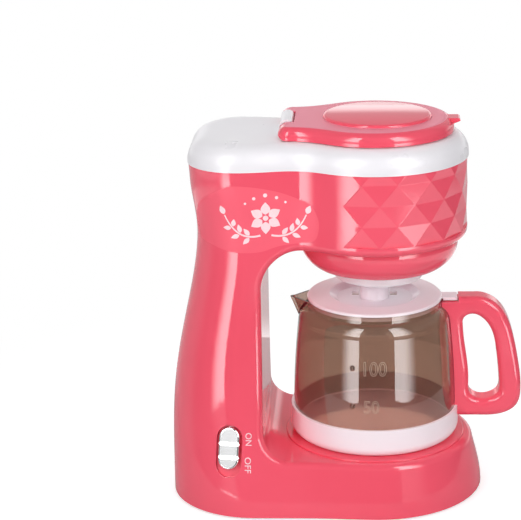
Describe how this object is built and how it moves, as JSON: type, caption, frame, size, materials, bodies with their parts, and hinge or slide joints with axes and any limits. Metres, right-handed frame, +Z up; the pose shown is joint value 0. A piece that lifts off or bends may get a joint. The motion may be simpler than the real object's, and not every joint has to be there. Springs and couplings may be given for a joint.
{
  "type": "toy coffee maker",
  "caption": "Toy drip coffee maker with a flared body, a round brew head with a hinged lid and triangle relief, a slide switch and a clear carafe that lifts away.",
  "frame": {"origin": "Under the middle of the whole toy, at the level the rubber feet rest on.", "axes": "+Z is up, the front with the carafe handle faces -Y, and +X is the toy's own left seen from behind, the side with the screw recesses. The slide switch is on the -X side."},
  "size_m": [0.1092, 0.1766, 0.1931],
  "materials": {
    "pink_body": "glossy moulded plastic",
    "white_trim": "glossy moulded plastic",
    "smoke_clear": "smoky clear plastic",
    "bright_chrome": "bright plated plastic",
    "steel": "plain steel",
    "contact_metal": "nickel plated",
    "black_plastic": "matt black",
    "board_green": "green board",
    "wire_red": "insulated wire",
    "foot_rubber": "soft black rubber",
    "cell_wrap": "dark printed wrap"
  },
  "bodies": {
    "body": {"base_screws": "steel", "battery_cells": "cell_wrap", "battery_door": "pink_body", "battery_door_screw": "steel", "board_parts": "black_plastic", "board_screws": "steel", "bottom_cover": "pink_body", "brew_bowl": "pink_body", "circuit_board": "board_green", "contact_plates": "contact_metal", "contact_springs": "contact_metal", "drip_plate": "white_trim", "left_shell": "pink_body", "lid_hinge_pin": "steel", "right_shell": "pink_body", "rubber_feet": "foot_rubber", "shell_screws": "steel", "slide_switch": "black_plastic", "speaker": "black_plastic", "top_cover": "white_trim", "warming_plate": "pink_body", "water_cup": "white_trim", "wires": "wire_red"},
    "lid": {"brew_lid": "pink_body"},
    "carafe": {"carafe_body": "smoke_clear", "carafe_base": "white_trim", "carafe_handle": "pink_body"},
    "carafe_lid": {"carafe_lid": "white_trim"},
    "switch": {"switch_knob": "bright_chrome"}
  },
  "joints": [
    {"name": "lid_hinge", "type": "hinge", "parent": "body", "child": "lid", "pos_m": [0, 0.0282, 0.1892], "axis": [-1, 0, 0], "range_deg": [0, 100]},
    {"name": "carafe_slide", "type": "slide", "parent": "body", "child": "carafe", "axis": [0, -1, 0], "range_m": [0, 0.1]},
    {"name": "carafe_lid_lift", "type": "slide", "parent": "carafe", "child": "carafe_lid", "axis": [0, 0, 1], "range_m": [0, 0.0035]},
    {"name": "switch_slide", "type": "slide", "parent": "body", "child": "switch", "axis": [-0.2908, 0.0508, -0.9554], "range_m": [0, 0.0035]}
  ]
}
